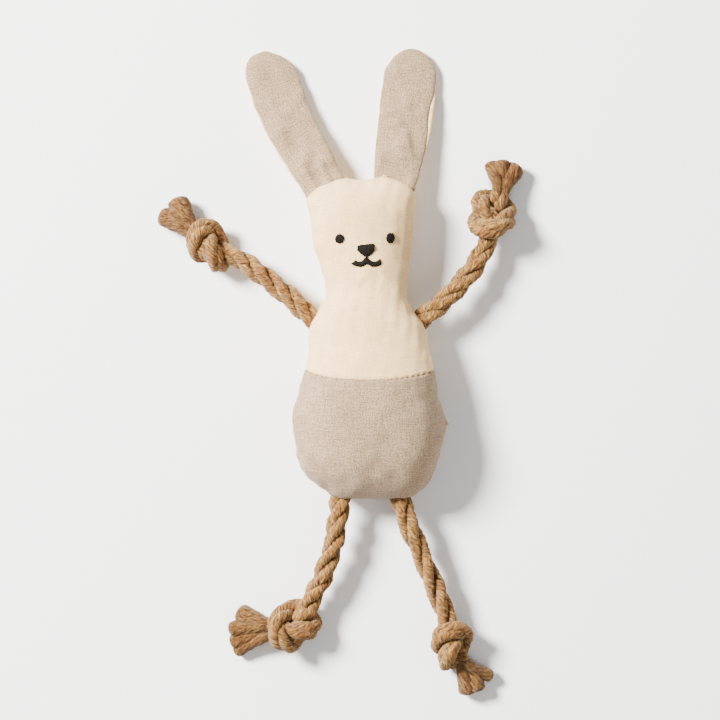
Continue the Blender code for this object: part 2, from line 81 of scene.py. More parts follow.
# y, left edge (-X), right edge (+X) of the body seen from the front
BODY_EDGES = (
    (-40.5, -17.0, 20.5),
    (-37.5, -22.0, 27.0),
    (-33.0, -28.0, 32.5),
    (-28.0, -34.0, 35.5),
    (-20.0, -38.4, 38.6),
    (-8.0, -40.2, 41.3),
    (4.0, -41.8, 41.8),
    (15.0, -39.2, 39.0),
    (29.0, -35.4, 37.0),
    (41.0, -32.6, 33.4),
    (52.0, -32.5, 31.6),
    (58.0, -30.2, 29.0),
    (63.0, -27.2, 24.8),
    (68.0, -24.2, 22.2),
    (76.0, -23.6, 21.6),
    (87.5, -26.4, 23.1),
    (96.0, -29.6, 24.4),
    (108.0, -31.2, 25.4),
    (117.0, -32.4, 25.8),
    (123.5, -33.8, 26.0),
    (127.0, -32.0, 25.6),
    (130.0, -28.0, 23.8),
    (133.0, -22.4, 19.8),
    (136.5, -12.6, 11.0),
)
# y, seam height above the floor, rise of the front over the seam, depth of the back under it
BODY_DEPTHS = (
    (-40.5, 17.5, 24.0, 19.0),
    (-10.0, 20.0, 26.0, 21.5),
    (20.0, 20.0, 25.0, 21.0),
    (45.0, 19.0, 21.0, 18.6),
    (60.0, 18.3, 18.5, 16.6),
    (76.0, 17.4, 16.8, 15.2),
    (92.0, 16.6, 19.0, 16.2),
    (108.0, 16.0, 20.6, 17.6),
    (124.0, 15.8, 20.0, 17.0),
    (136.5, 15.6, 19.0, 16.0),
)
FLOOR_GAP = 0.15  # the resting cloth and rope stay this far above the floor
CROWN_DIP, CROWN_DIP_X, CROWN_DIP_HALF = 1.7, -3.5, 7.5  # the dip of the crown between the two ears
CROWN_DIP_FROM, CROWN_DIP_RUN = 118.0, 16.0  # the y where it starts and the length over which it grows
WAIST_STITCH = 2.8  # length of one stitch of the waist seam
SEAM_TURN = 1.6  # how far the seam allowance turns inwards
COVER_CLOTH, EAR_CLOTH = 0.45, 0.4  # thickness
CLOSING_Y, CLOSING_HALF, CLOSING_BULGE = 0.6, 3.4, 3.0  # the hand sewn gap in the belly's side seam

# ---- ears ----
# line: x, y, half width along the middle of the ear, from the crown seam to the tip
# cream: share of the length, and how far round the edge (in radians) the cream back shows there
# folds: where a ridge of the front cloth starts and ends, across and along the ear; its width and height
EARS = {
    "right_ear": {
        "hinge": ((-37.0, 127.8), (-14.2, 139.4)),
        "line": (
            (-22.6, 128.6, 11.6), (-28.2, 139.0, 12.6), (-35.0, 151.0, 13.4), (-41.8, 163.0, 14.0),
            (-47.9, 177.0, 14.4), (-52.5, 190.6, 14.6), (-57.0, 207.0, 13.4),
        ),
        "cream": ((0.0, 0.20), (0.3, 0.30), (0.6, 0.22), (0.85, 0.10), (1.0, 0.02)),
        "cream_side": -1,
        "skew": -3.6,
        "pleats": 1.5,
        "folds": (
            (-5.6, 19.0, -5.2, 3.0, 2.3, 1.9),
            (4.2, 15.0, 3.2, 3.0, 2.6, 1.5),
            (-13.0, 45.0, -3.0, 21.0, 4.2, 1.5),
        ),
        "seed": 5,
    },
    "left_ear": {
        "hinge": ((3.6, 139.8), (27.0, 132.4)),
        "line": (
            (14.2, 130.4, 11.6), (16.2, 142.0, 13.0), (18.0, 153.0, 14.2), (19.8, 164.0, 14.9),
            (21.6, 178.0, 15.2), (23.0, 190.0, 14.9), (23.9, 208.6, 12.4),
        ),
        "cream": (
            (0.0, 0.04), (0.2, 0.12), (0.36, 0.36), (0.47, 0.56), (0.57, 0.50), (0.67, 0.12),
            (1.0, 0.02),
        ),
        "cream_side": 1,
        "skew": 0.8,
        "pleats": 1.1,
        "folds": ((4.4, 30.0, 8.4, 8.0, 3.4, 1.25), (-8.0, 24.0, 2.0, 19.0, 3.4, 0.9)),
        "seed": 9,
    },
}
EAR_ROOT_Z, EAR_TIP_Z = 15.6, 2.9
EAR_TIP_ROUND = 14.0
EAR_EDGE, EAR_CROWN = 0.55, 2.15  # half thickness at the rim, and what the wadding adds in the middle
PLEAT_REACH = 17.0  # how far the pleats of the crown seam run up the ear
RIM_REACH = 4.0  # how near the rim the folds die out
WADDING_STIFF = 3.5  # how sharply the wadding stops the cloth from sinking

# ---- rope limbs ----
ROPE_R, STRAND_R, STRAND_OFFSET = 5.6, 2.95, 2.85
LAY = 44.0  # length of one turn of the rope's strands, right-handed
PLY_LAY = 15.0  # and of the plies in a strand, left-handed
FREE_ROPE_D = 9.7  # closest that two free lengths of the rope lie, middle to middle
SPACING = 0.7  # between the points of a rope's line
STRAND_SIDES = 24
KNOT_SWELL = 0.34  # how much the strands spread inside the knot, to fill it
OPEN_KNOT_D, KNOT_LEAD, KNOT_LEAVE = 9.2, 17.0, 14.5  # the open knot: rope, and reach before and after
SEWN_LENGTH, SEWN_FLAT = 10.0, 0.42  # the flattened end of the rope in the seam
INTO_KNOT, LEAST_CORD = 13.0, 70.0  # how far a cord runs into its knot, and its least length
TAIL_START = 5.0  # where the strands part, before the end of the knot's line
FIBRE_R = 0.085  # of a stray fibre
# the bundles of fibre at the frayed ends; their low shade value paints them darker, as shade among the
# dense, unlit fibres
TAIL_FIBRE = {"ridges": 9, "depth": 0.15, "twist": 60.0, "wander": 0.1, "matted": 0.4, "shade": 0.3}
# route: the rope's line from the seam to the middle of its knot. tip: the middle of its frayed end.
# turn: degrees that the knot is rolled about the rope. hand: which way it is tied.
# knot_d: how thick the rope is inside the knot. tightness: the length of rope in it, in knot_d.
# lobes: ends and radii of the frayed bundles. lay: length of one turn of the strands, if not LAY.
# shift: how far the tied knot is moved.
LIMBS = {
    "right_arm": {
        "route": (
            (-31.6, 59.4, 18.4), (-41.4, 68.4, 17.6), (-51.7, 77.4, 16.2), (-62.4, 85.6, 14.6),
            (-74.0, 93.0, 13.0), (-88.7, 98.5, 12.0),
        ),
        "tip": (-110.6, 117.4, 6.0),
        "lobes": ((-104.2, 120.8, 7.6, 6.0), (-111.4, 114.4, 6.4, 5.3), (-106.4, 116.0, 9.8, 4.4)),
        "turn": 240.0, "hand": 1, "knot_d": 7.6, "tightness": 10.1, "seed": 11,
    },
    "left_arm": {
        "route": (
            (30.6, 59.0, 18.4), (40.7, 67.4, 17.6), (50.8, 77.4, 16.0), (59.2, 88.0, 14.2),
            (65.2, 100.0, 12.8), (68.8, 116.1, 12.0),
        ),
        "tip": (76.6, 142.6, 6.0),
        "lobes": ((68.6, 142.4, 6.4, 3.9), (74.0, 143.0, 7.6, 4.3), (80.6, 140.2, 6.0, 5.0)),
        "shift": (1.5, 3.6, 0.0),
        "turn": 120.0, "hand": -1, "knot_d": 8.0, "tightness": 10.3, "seed": 12,
    },
    "right_leg": {
        "route": (
            (-15.4, -41.0, 17.4), (-17.0, -55.0, 16.8), (-20.8, -72.0, 15.2), (-26.2, -86.4, 13.6),
            (-31.6, -98.0, 12.6), (-37.2, -114.8, 12.0),
        ),
        "tip": (-73.0, -115.6, 6.0),
        "lobes": (
            (-68.4, -105.4, 6.8, 5.4), (-73.0, -113.0, 6.2, 4.8), (-72.8, -120.0, 5.2, 4.2),
            (-71.4, -124.8, 4.2, 3.5),
        ),
        "turn": 171.0, "hand": 1, "knot_d": 8.0, "tightness": 9.6, "lay": 38.0, "seed": 13,
    },
    "left_leg": {
        "route": (
            (18.0, -41.2, 17.4), (23.0, -56.4, 16.8), (30.2, -73.0, 15.2), (36.6, -88.4, 13.6),
            (41.2, -101.0, 12.6), (47.6, -124.2, 12.0),
        ),
        "tip": (60.4, -145.6, 6.0),
        "lobes": ((54.8, -145.4, 6.4, 4.9), (60.0, -144.0, 7.0, 4.6), (66.2, -138.6, 5.4, 3.6)),
        "turn": 0.0, "hand": 1, "knot_d": 7.6, "tightness": 10.2, "lay": 62.0, "seed": 14,
    },
}


# ---- numbers ----
def cubic(t, reach, start, leave, end, arrive):
    """Points at shares t of a smooth way from start to end that leaves and arrives in given directions."""
    return (
        (2 * t**3 - 3 * t**2 + 1) * start
        + (t**3 - 2 * t**2 + t) * reach * leave
        + (3 * t**2 - 2 * t**3) * end
        + (t**3 - t**2) * reach * arrive
    )


def curve_through(table, at):
    """Smooth values of a table's other columns where its first column is at."""
    table = np.asarray(table, float)
    x = table[:, 0]
    slope = np.gradient(table[:, 1:], x, axis=0)
    at = np.clip(at, x[0], x[-1])
    i = np.clip(np.searchsorted(x, at, "right") - 1, 0, len(x) - 2)
    h = (x[i + 1] - x[i])[..., None]
    t = (at - x[i])[..., None] / h
    return cubic(t, h, table[i, 1:], slope[i], table[i + 1, 1:], slope[i + 1])


def along(points):
    """Running length along a line of points."""
    steps = np.linalg.norm(np.diff(points, axis=0), axis=1)
    return np.concatenate([[0.0], np.cumsum(steps)])


def along_rows(points):
    """Running length along each row of a grid of points."""
    steps = np.linalg.norm(np.diff(points, axis=1), axis=-1)
    return np.concatenate([np.zeros((len(points), 1)), np.cumsum(steps, axis=1)], axis=1)


def smooth_path(points, spacing):
    """A smooth line through the points, with points of its own about spacing apart."""
    points = np.asarray(points, float)
    table = np.column_stack([along(points), points])
    count = max(2, int(round(table[-1, 0] / spacing)) + 1)
    return curve_through(table, np.linspace(0, table[-1, 0], count))


def lumps(u, v, size, seed, waves=14):
    """Smooth random values, about -1 to 1, that vary over a length of size."""
    rng = np.random.default_rng(seed)
    total = np.zeros(np.broadcast(u, v).shape)
    for _ in range(waves):
        angle, phase = rng.uniform(0, 2 * math.pi, 2)
        k = 2 * math.pi / (size * rng.uniform(0.7, 1.8))
        total += np.cos(k * (u * math.cos(angle) + v * math.sin(angle)) + phase)
    return total / math.sqrt(waves / 2) / 1.6


def bell(x, width):
    """1 at 0, and a smooth fall to both sides."""
    return np.exp(-((x / width) ** 2))


def signed_power(x, power):
    return np.sign(x) * np.abs(x) ** power


def step_smooth(x):
    """0 below 0, 1 above 1, and a smooth rise between."""
    x = np.clip(x, 0, 1)
    return x * x * (3 - 2 * x)


def unit(v):
    return v / np.maximum(np.linalg.norm(v, axis=-1, keepdims=True), 1e-9)


def surface_normals(points):
    """Normals of a grid of points, from its rows and columns."""
    return unit(np.cross(np.gradient(points, axis=1), np.gradient(points, axis=0)))


def blurred(grid, reach):
    """A grid of values, smoothed over about reach cells each way."""
    taps = np.exp(-0.5 * (np.arange(-2 * reach, 2 * reach + 1) / reach) ** 2)
    taps /= taps.sum()
    out = grid
    for axis in (0, 1):
        pad = [(0, 0)] * grid.ndim
        pad[axis] = (2 * reach, 2 * reach)
        wide = np.pad(out, pad, mode="edge")
        cells = np.arange(grid.shape[axis])
        out = sum(w * np.take(wide, cells + k, axis=axis) for k, w in enumerate(taps))
    return out


def sampled(grid, rows, cols):
    """Values of a grid at fractional rows and columns."""
    rows = np.clip(rows, 0, grid.shape[0] - 1.001)
    cols = np.clip(cols, 0, grid.shape[1] - 1.001)
    r, c = rows.astype(int), cols.astype(int)
    fr, fc = step_smooth(rows - r)[..., None], step_smooth(cols - c)[..., None]
    low = grid[r, c] * (1 - fc) + grid[r, c + 1] * fc
    high = grid[r + 1, c] * (1 - fc) + grid[r + 1, c + 1] * fc
    return low * (1 - fr) + high * fr


def crowded(count, pull=0.55):
    """count values from 0 to 1 that lie closer together near both ends."""
    s = np.linspace(0, 1, count)
    return (1 - pull) * s + pull * (0.5 - 0.5 * np.cos(math.pi * s))


# ---- meshes ----
def place(name, data):
    """A new object in the scene."""
    made = bpy.data.objects.new(name, data)
    bpy.context.scene.collection.objects.link(made)
    return made


def add_mesh(name, vertices, faces, uvs=None, material=None):
    """uvs holds one (u, v) per vertex, in millimetres of cloth or rope."""
    mesh = bpy.data.meshes.new(name)
    mesh.from_pydata((np.asarray(vertices) * MM).tolist(), [], [list(f) for f in faces])
    if uvs is not None:
        layer = mesh.uv_layers.new(name="cloth")
        loops = np.empty(len(mesh.loops), int)
        mesh.loops.foreach_get("vertex_index", loops)
        layer.data.foreach_set("uv", np.asarray(uvs, np.float32)[loops].ravel())
    mesh.polygons.foreach_set("use_smooth", [True] * len(mesh.polygons))
    if material:
        mesh.materials.append(material)
    mesh.update()
    return place(name, mesh)


def grid_faces(rows, cols, start=0, wrap=False, flip=False):
    """The quads of a grid of vertices that starts at vertex number start."""
    r = np.arange(rows - 1)[:, None]
    c = np.arange(cols if wrap else cols - 1)[None, :]
    a = start + r * cols + c
    b = start + r * cols + (c + 1) % cols
    quads = np.stack([a, b, b + cols, a + cols], axis=-1).reshape(-1, 4)
    return quads[:, ::-1] if flip else quads


def cloth_shell(name, points, uv, slot, thickness):
    """A cloth panel with its thickness, from a grid of outer points whose rows and columns face outwards."""
    rows, cols = points.shape[:2]
    inner = points - surface_normals(points) * thickness
    count = rows * cols
    vertices = np.concatenate([points.reshape(-1, 3), inner.reshape(-1, 3)])
    index = np.arange(count).reshape(rows, cols)
    rim = np.concatenate([index[0], index[1:, -1], index[-1, -2::-1], index[-2:0:-1, 0]])
    after = np.roll(rim, -1)
    sides = np.stack([after, rim, rim + count, after + count], axis=-1)
    faces = np.concatenate([grid_faces(rows, cols), grid_faces(rows, cols, count, flip=True), sides])
    flat = uv.reshape(-1, 2)
    return add_mesh(name, vertices, faces, np.concatenate([flat, flat]), MATERIALS[slot])


# ---- stuffing by cloth simulation ----
SIM_FRAMES = 18
SIM_CAP = 4.0  # furthest that the simulation may move the cloth
SIM_HOLD = 0.06  # pull of every point back to where it started


def stuffed(name, front, back, seam_reach, growth, pressure):
    """How two panels, sewn along their shared rim and stuffed, move from the given grids, as two grids.

    The cloth near the seam is cut too long for the stuffed outline, so it puckers there as a sewn seam does.
    """
    rows, cols = front.shape[:2]
    index = np.arange(rows * cols).reshape(rows, cols)
    inside = index.copy()
    inside[1:-1, 1:-1] = rows * cols + np.arange((rows - 2) * (cols - 2)).reshape(rows - 2, cols - 2)
    vertices = np.concatenate([front.reshape(-1, 3), back[1:-1, 1:-1].reshape(-1, 3)])

    def quads(table):
        corners = table[:-1, :-1], table[:-1, 1:], table[1:, 1:], table[1:, :-1]
        return np.stack(corners, axis=-1).reshape(-1, 4)

    made = add_mesh(name, vertices, np.concatenate([quads(index), quads(inside)[:, ::-1]]))
    rim = np.concatenate([front[0], front[-1], front[:, 0], front[:, -1]])
    gap = np.array([np.linalg.norm(rim - p, axis=1).min() for p in vertices])
    slack = made.vertex_groups.new(name="slack")
    held = made.vertex_groups.new(name="held")
    for i, distance in enumerate(gap):
        slack.add([i], math.exp(-distance / seam_reach), "REPLACE")
        held.add([i], SIM_HOLD, "REPLACE")
    modifier = made.modifiers.new("stuffing", "CLOTH")
    cloth = modifier.settings
    cloth.quality = 5
    cloth.mass = 0.15
    cloth.tension_stiffness = cloth.compression_stiffness = 12
    cloth.shear_stiffness = 4
    cloth.bending_stiffness = 0.02
    cloth.use_pressure = True
    cloth.uniform_pressure_force = pressure
    cloth.vertex_group_shrink = "slack"
    cloth.shrink_min, cloth.shrink_max = 0.0, -growth
    cloth.vertex_group_mass = "held"
    cloth.pin_stiffness = 1.0
    cloth.effector_weights.gravity = 0.0
    modifier.collision_settings.use_collision = False
    modifier.point_cache.frame_start, modifier.point_cache.frame_end = 1, SIM_FRAMES
    scene = bpy.context.scene
    for number in range(1, SIM_FRAMES + 1):
        scene.frame_set(number)
    moved = np.empty(len(vertices) * 3)
    solved = made.evaluated_get(bpy.context.evaluated_depsgraph_get())
    solved.data.vertices.foreach_get("co", moved)
    scene.frame_set(1)
    bpy.data.objects.remove(made)
    shift = moved.reshape(-1, 3) / MM - vertices
    size = np.linalg.norm(shift, axis=1, keepdims=True)
    shift *= np.minimum(1, SIM_CAP / np.maximum(size, 1e-6))
    return shift[index], shift[inside]


def folds_only(shift, reach=5):
    """The folds and puckers in a simulated shift, without its overall swelling."""
    return shift - blurred(shift, reach)


# ---- materials ----
class Nodes:
    """Builds a node material in few words."""

    def __init__(self, name, roughness, **settings):
        self.material = bpy.data.materials.new(name)
        self.material.use_nodes = True
        self.tree = self.material.node_tree
        self.shader = self.tree.nodes["Principled BSDF"]
        self.shader.inputs["Roughness"].default_value = roughness
        for key, value in settings.items():
            self.shader.inputs[key.replace("_", " ")].default_value = value

    def add(self, kind, inputs=(), **settings):
        node = self.tree.nodes.new(kind)
        for key, value in settings.items():
            setattr(node, key, value)
        for key, value in dict(inputs).items():
            if isinstance(value, bpy.types.NodeSocket):
                self.tree.links.new(value, node.inputs[key])
            else:
                node.inputs[key].default_value = value
        return node

    def math(self, operation, a, b=0.0, c=0.0):
        return self.add("ShaderNodeMath", {0: a, 1: b, 2: c}, operation=operation).outputs[0]

    def vector(self, operation, a, b):
        return self.add("ShaderNodeVectorMath", {0: a, 1: b}, operation=operation).outputs[0]

    def noise(self, vector, scale, detail=2.0, roughness=0.5, stretch=(1, 1, 1)):
        wide = self.vector("MULTIPLY", vector, stretch)
        inputs = {"Vector": wide, "Scale": scale, "Detail": detail, "Roughness": roughness}
        return self.add("ShaderNodeTexNoise", inputs).outputs["Fac"]

    def ramp(self, factor, *stops):
        """Colours or greys at places from 0 to 1."""
        node = self.add("ShaderNodeValToRGB", {"Fac": factor})
        elements = node.color_ramp.elements
        while len(elements) < len(stops):
            elements.new(0.5)
        for element, (at, colour) in zip(elements, stops):
            element.position = at
            element.color = (colour,) * 3 + (1,) if isinstance(colour, float) else (*colour, 1)
        return node.outputs["Color"]

    def mix(self, factor, a, b, blend_type="MIX"):
        node = self.add("ShaderNodeMix", data_type="RGBA", blend_type=blend_type)
        for socket, value in ((node.inputs["Factor"], factor), (node.inputs[6], a), (node.inputs[7], b)):
            if isinstance(value, bpy.types.NodeSocket):
                self.tree.links.new(value, socket)
            else:
                socket.default_value = (*value, 1) if isinstance(value, tuple) else value
        return node.outputs[2]

    def bump(self, height, distance, strength):
        inputs = {"Height": height, "Distance": distance * MM, "Strength": strength}
        return self.add("ShaderNodeBump", inputs).outputs["Normal"]

    def done(self, colour, normal):
        self.tree.links.new(colour, self.shader.inputs["Base Color"])
        self.tree.links.new(normal, self.shader.inputs["Normal"])
        return self.material


THREAD_PITCH = 0.62  # of the linen's threads
RIDGE_WIDTH = 0.69  # of the rope's uv for each radian of one ridge


def linen(name, light, dark, thread, fleck):
    """Plain weave linen: warp and weft with their own tones, slubs, flecks, a little fuzz, and painted shade
    between the threads.

    thread and fleck are how much the threads' tones and the flecks in them stand out.
    """
    sheen = {"Sheen_Weight": 0.12, "Sheen_Roughness": 0.6, "Sheen_Tint": (1.0, 0.95, 0.88, 1.0)}
    n = Nodes(name, 0.92, Specular_IOR_Level=0.12, **sheen)
    uv = n.add("ShaderNodeUVMap", uv_map="cloth").outputs["UV"]
    wander = (n.noise(uv, 0.12, 1.0), n.noise(uv, 0.1, 1.0, stretch=(1.3, 0.8, 1)))
    drift = n.add("ShaderNodeCombineXYZ", dict(enumerate(wander))).outputs[0]
    uv = n.vector("ADD", uv, n.vector("MULTIPLY", drift, (3.0, 3.0, 0.0)))
    axes = n.add("ShaderNodeSeparateXYZ", {0: uv})
    across, lengthways = (
        n.math("SINE", n.math("MULTIPLY", axes.outputs[k], math.pi / THREAD_PITCH)) for k in (0, 1)
    )
    crossing = n.math("MULTIPLY", across, lengthways)
    thickness = n.math("POWER", n.math("ABSOLUTE", crossing), 0.55)
    warp = n.noise(uv, 1.0 / THREAD_PITCH, 1.0, stretch=(1.0, 0.07, 1.0))
    weft = n.noise(uv, 1.0 / THREAD_PITCH, 1.0, stretch=(0.07, 1.0, 1.0))
    mixed = n.add("ShaderNodeMix", data_type="FLOAT")
    for socket, value in zip((0, 2, 3), (n.math("GREATER_THAN", crossing, 0.0), warp, weft)):
        n.tree.links.new(value, mixed.inputs[socket])
    tone = mixed.outputs[0]
    spread = 0.5 * (1 - thread)
    colour = n.mix(n.ramp(tone, (0.5 - spread, 0.0), (0.5 + spread, 1.0)), dark, light)
    speck = n.noise(uv, 1.15, 3.0, 0.75)
    colour = n.mix(n.ramp(speck, (0.40, fleck), (0.56, 0.0)), colour, dark, "MULTIPLY")
    patches = n.noise(uv, 0.05, 2.0)
    colour = n.mix(n.ramp(patches, (0.3, 0.12), (0.7, 0.0)), colour, dark, "MULTIPLY")
    # painted shade in the gaps between the threads, where the weave is thin
    gap = n.ramp(thickness, (0.12, 0.30), (0.5, 0.0))
    colour = n.mix(gap, colour, tuple(0.55 * c for c in dark))
    normal = n.bump(n.math("MULTIPLY_ADD", tone, 1.1, thickness), 0.14, 0.8)
    return n.done(colour, normal)


def jute(name):
    """Twisted jute: golden brown fibre, streaked along each yarn, with painted shade between yarns and
    strands.
    """
    sheen = {"Sheen_Weight": 0.15, "Sheen_Roughness": 0.5, "Sheen_Tint": (1.0, 0.9, 0.75, 1.0)}
    n = Nodes(name, 0.9, Specular_IOR_Level=0.15, **sheen)
    uv = n.add("ShaderNodeUVMap", uv_map="cloth").outputs["UV"]
    shade = n.add("ShaderNodeAttribute", attribute_name="painted_light", attribute_type="GEOMETRY")
    painted_light = shade.outputs["Fac"]
    streak = n.noise(uv, 1.5, 3.0, 0.7, stretch=(1.0, 0.16, 1.0))
    fine = n.noise(uv, 3.6, 2.0, 0.6, stretch=(1.0, 0.13, 1.0))
    colour = n.ramp(
        streak,
        (0.34, (0.061, 0.0267, 0.0075)),
        (0.45, (0.201, 0.1, 0.0273)),
        (0.55, (0.362, 0.206, 0.0625)),
        (0.68, (0.607, 0.403, 0.158)),
    )
    patch = n.noise(n.add("ShaderNodeTexCoord").outputs["Object"], 130.0, 2.0)
    colour = n.mix(n.ramp(patch, (0.35, 0.5), (0.62, 0.0)), colour, (0.64, 0.42, 0.22), "MULTIPLY")
    colour = n.mix(n.ramp(fine, (0.38, 0.6), (0.56, 0.0)), colour, (0.38, 0.24, 0.13), "MULTIPLY")
    # painted shade in the grooves between the yarns of each strand, where the ridges of the tube dip
    across = n.add("ShaderNodeSeparateXYZ", {0: uv}).outputs[0]
    ridge = n.math("ABSOLUTE", n.math("COSINE", n.math("DIVIDE", across, 2 * RIDGE_WIDTH)))
    colour = n.mix(n.ramp(ridge, (0.05, 0.4), (0.5, 0.0)), colour, (0.36, 0.22, 0.12), "MULTIPLY")
    grain = n.noise(uv, 0.9, 2.0, 0.6, stretch=(1.0, 0.5, 1.0))
    colour = n.mix(n.ramp(grain, (0.36, 0.9), (0.5, 0.0)), colour, (0.42, 0.27, 0.15), "MULTIPLY")
    # painted shade: the lower a vertex's shade value, the darker; deep between the strands, inside the knot
    # and on the frayed ends
    colour = n.mix(n.ramp(painted_light, (0.05, 0.85), (0.7, 0.0)), colour, (0.20, 0.11, 0.055), "MULTIPLY")
    height = n.math("MULTIPLY_ADD", fine, 0.8, n.math("ADD", streak, n.math("MULTIPLY", ridge, 0.5)))
    normal = n.bump(height, 0.5, 0.9)
    return n.done(colour, normal)


def plain_fibre(name, light, dark, size, roughness=0.95):
    """Cloudy, matt stuff for the parts that the cover hides."""
    n = Nodes(name, roughness, Specular_IOR_Level=0.2)
    cloud = n.noise(n.add("ShaderNodeTexCoord").outputs["Object"], size, 4.0, 0.7)
    return n.done(n.ramp(cloud, (0.3, dark), (0.7, light)), n.bump(cloud, 0.5, 0.5))


def thread_material(name):
    """Black embroidery floss, with a dull gloss along its fibres."""
    n = Nodes(name, 0.75, Specular_IOR_Level=0.08)
    uv = n.add("ShaderNodeUVMap", uv_map="cloth").outputs["UV"]
    fibre = n.noise(uv, 4.0, 2.0, 0.6, stretch=(1.0, 0.25, 1.0))
    colour = n.ramp(fibre, (0.3, (0.0025, 0.002, 0.0015)), (0.75, (0.014, 0.011, 0.008)))
    return n.done(colour, n.bump(fibre, 0.08, 0.6))


MATERIALS = {
    "cream_linen": linen("cream_linen_weave", (0.97, 0.715, 0.375), (0.74, 0.49, 0.22), 0.55, 0.26),
    "grey_linen": linen("grey_linen_weave", (0.54, 0.388, 0.243), (0.225, 0.149, 0.083), 0.50, 0.60),
    "jute_rope": jute("jute_fibre"),
    "black_thread": thread_material("black_floss"),
    "filling": plain_fibre("stuffing_fibre", (0.86, 0.84, 0.80), (0.70, 0.68, 0.64), 240.0),
    "squeaker_plastic": plain_fibre(
        "squeaker_plastic_shell", (0.80, 0.80, 0.76), (0.74, 0.74, 0.70), 60.0, roughness=0.45
    ),
}


# ---- body ----
STRAIGHT = (TOP_Y - TOP_ROUND) - (BOTTOM_Y + BOTTOM_ROUND)
BODY_ARC = BOTTOM_ARC + STRAIGHT + TOP_ARC
SIM_ROWS, SIM_COLS = 92, 50


def body_station(t):
    """The y and the growth of the thickness at a length t of cloth up from the crotch."""
    low = np.clip(t / BOTTOM_ARC, 0, 1) * math.pi / 2
    high = np.clip((BODY_ARC - t) / TOP_ARC, 0, 1) * math.pi / 2
    middle = np.clip(t - BOTTOM_ARC, 0, STRAIGHT)
    y = BOTTOM_Y + BOTTOM_ROUND * (1 - np.cos(low)) + middle + TOP_ROUND * np.cos(high)
    return y, np.sin(low) * np.sin(high)


def body_surface(t, angle):
    """Points of the stuffed body: angle 0 at +X, pi at -X, the front between them and the back past them."""
    t, angle = np.broadcast_arrays(t, angle)
    y, growth = body_station(t)
    edges, depths = curve_through(BODY_EDGES, y), curve_through(BODY_DEPTHS, y)
    front = np.sin(angle) >= 0
    rise = np.maximum(np.where(front, depths[..., 1], depths[..., 2]) * growth, EDGE_THICKNESS)
    half = (edges[..., 1] - edges[..., 0]) / 2
    power = 2 / FULLNESS
    x = (edges[..., 0] + edges[..., 1]) / 2 + half * signed_power(np.cos(angle), power)
    z = depths[..., 0] + rise * signed_power(np.sin(angle), power)
    dip = bell(x - CROWN_DIP_X, CROWN_DIP_HALF)
    y = y - CROWN_DIP * dip * step_smooth((y - CROWN_DIP_FROM) / CROWN_DIP_RUN)
    return np.stack([x, y, z], axis=-1)


def waist_t(angle):
    """The length of cloth from the crotch to the waist seam, which sags in its middle."""
    return BOTTOM_ARC + WAIST_Y - WAIST_DIP * np.abs(np.sin(angle)) ** 1.5 - (BOTTOM_Y + BOTTOM_ROUND)


def stuff_body():
    """The folds that stuffing gives the front and the back of the body."""
    t = np.linspace(0, BODY_ARC, SIM_ROWS)[:, None]
    across = np.linspace(math.pi, 0, SIM_COLS)[None, :]
    front, back = body_surface(t, across), body_surface(t, 2 * math.pi - across)
    back[:, [0, -1]], back[[0, -1]] = front[:, [0, -1]], front[[0, -1]]
    moved = stuffed("body_stuffing", front, back, seam_reach=9.0, growth=0.07, pressure=2.0)
    return [folds_only(shift) for shift in moved]


def seam_sink(gaps, run):
    """How far the cloth sinks at its seams, from the distance to each. run goes along the waist seam."""
    sink = sum(0.6 * bell(gaps[name], 0.95) for name in ("side", "end"))
    # the waist seam: one small dimple at each stitch, and gathers that run out from every second one
    waist = gaps["waist"]
    stitches = np.cos(math.pi * run / WAIST_STITCH + 0.5 * np.sin(run / 9.0)) ** 4
    gathers = np.cos(2 * math.pi * run / (2 * WAIST_STITCH) + 1.1 * np.sin(run / 7.0))
    sink = sink + (0.34 + 1.15 * stitches) * bell(waist, 0.75)
    return sink + 0.17 * gathers * np.exp(-waist / 3.0) * step_smooth(waist / 1.2)


def body_panel(name, front, upper, folds, slot):
    """One of the four panels of the cover, with its seams, folds and uneven stuffing."""
    rows, cols = (150, 120) if upper else (110, 130)
    a = crowded(cols)[None, :]
    angle = math.pi * (1 - a) if front else -math.pi * a
    share = crowded(rows)[:, None]
    waist = waist_t(angle)
    t = waist + (BODY_ARC - waist) * share if upper else waist * share
    points = body_surface(t, angle)
    column = (math.pi - angle if front else math.pi + angle) / math.pi * (SIM_COLS - 1)
    points += sampled(folds, *np.broadcast_arrays(t / BODY_ARC * (SIM_ROWS - 1), column))
    u = along_rows(points)
    width = u[:, -1:]
    side = np.minimum(u, width - u)
    ends = {"side": side, "waist": np.abs(t - waist), "end": (BODY_ARC - t) if upper else t}
    u = u - width / 2
    normals = surface_normals(points)
    rim = np.minimum(side, ends["end"])
    run = np.where(side < ends["end"], t, 300 + points[..., 0])
    seed = 3 + 2 * upper + front
    swell = 0.6 * lumps(u, t, 30.0, seed) + 0.2 * lumps(u, t, 10.0, seed + 20)
    swell = swell * step_smooth(np.minimum(rim, ends["waist"]) / 9.0)
    pucker = 0.42 * lumps(run, 0, 7.5, 43 + upper) * np.exp(-rim / 6.0)
    points += normals * (swell + pucker - seam_sink(ends, points[..., 0]))[..., None]
    if not upper:
        points += closing_pinch(points)
    points[..., 2] = np.maximum(points[..., 2], FLOOR_GAP)
    uv = np.stack([u, t + 0 * u], axis=-1)
    # the seam allowance turns inwards behind the seam
    normals = np.pad(surface_normals(points), ((1, 1), (1, 1), (0, 0)), mode="edge")
    points, uv = (np.pad(g, ((1, 1), (1, 1), (0, 0)), mode="edge") for g in (points, uv))
    inwards = np.ones(points.shape[:2])
    inwards[1:-1, 1:-1] = 0
    points -= normals * SEAM_TURN * inwards[..., None]
    points[..., 2] = np.maximum(points[..., 2], FLOOR_GAP)
    made = cloth_shell(name, points, uv, slot, COVER_CLOTH)
    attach(made, "torso")
    return made


